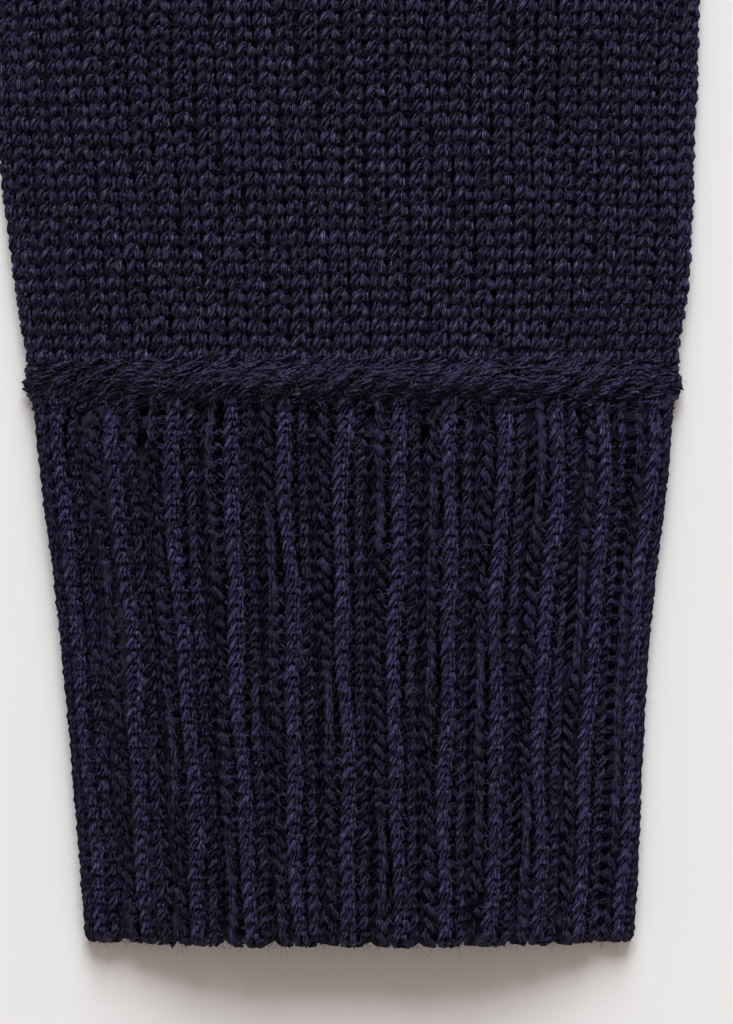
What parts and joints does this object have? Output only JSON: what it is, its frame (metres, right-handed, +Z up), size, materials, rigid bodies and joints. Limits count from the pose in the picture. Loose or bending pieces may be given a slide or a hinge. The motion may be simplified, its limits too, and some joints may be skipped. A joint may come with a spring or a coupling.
{
  "type": "pullover sweater",
  "caption": "Long-sleeved crew-neck pullover in thick navy wool knit, laid flat face up, with ribbed cuffs, hem and neckband and a raised join above each cuff.",
  "frame": {"origin": "on the resting surface, under the middle of the laid-out sweater's bounding box", "axes": "+X across the body towards the wearer's left sleeve, +Y from the hem to the neck, +Z up from the surface through the front"},
  "size_m": [1.3392, 0.712, 0.012],
  "materials": {
    "plain_knit": "matte stockinette wool knit",
    "rib_knit": "matte ribbed wool knit"
  },
  "bodies": {
    "root": {"body_front": "plain_knit", "body_back": "plain_knit", "sleeve_left": "plain_knit", "sleeve_right": "plain_knit", "cuff_left": "rib_knit", "cuff_right": "rib_knit", "cuff_join_left": "rib_knit", "cuff_join_right": "rib_knit", "hem_front": "rib_knit", "hem_back": "rib_knit", "neckband": "rib_knit"}
  },
  "joints": []
}
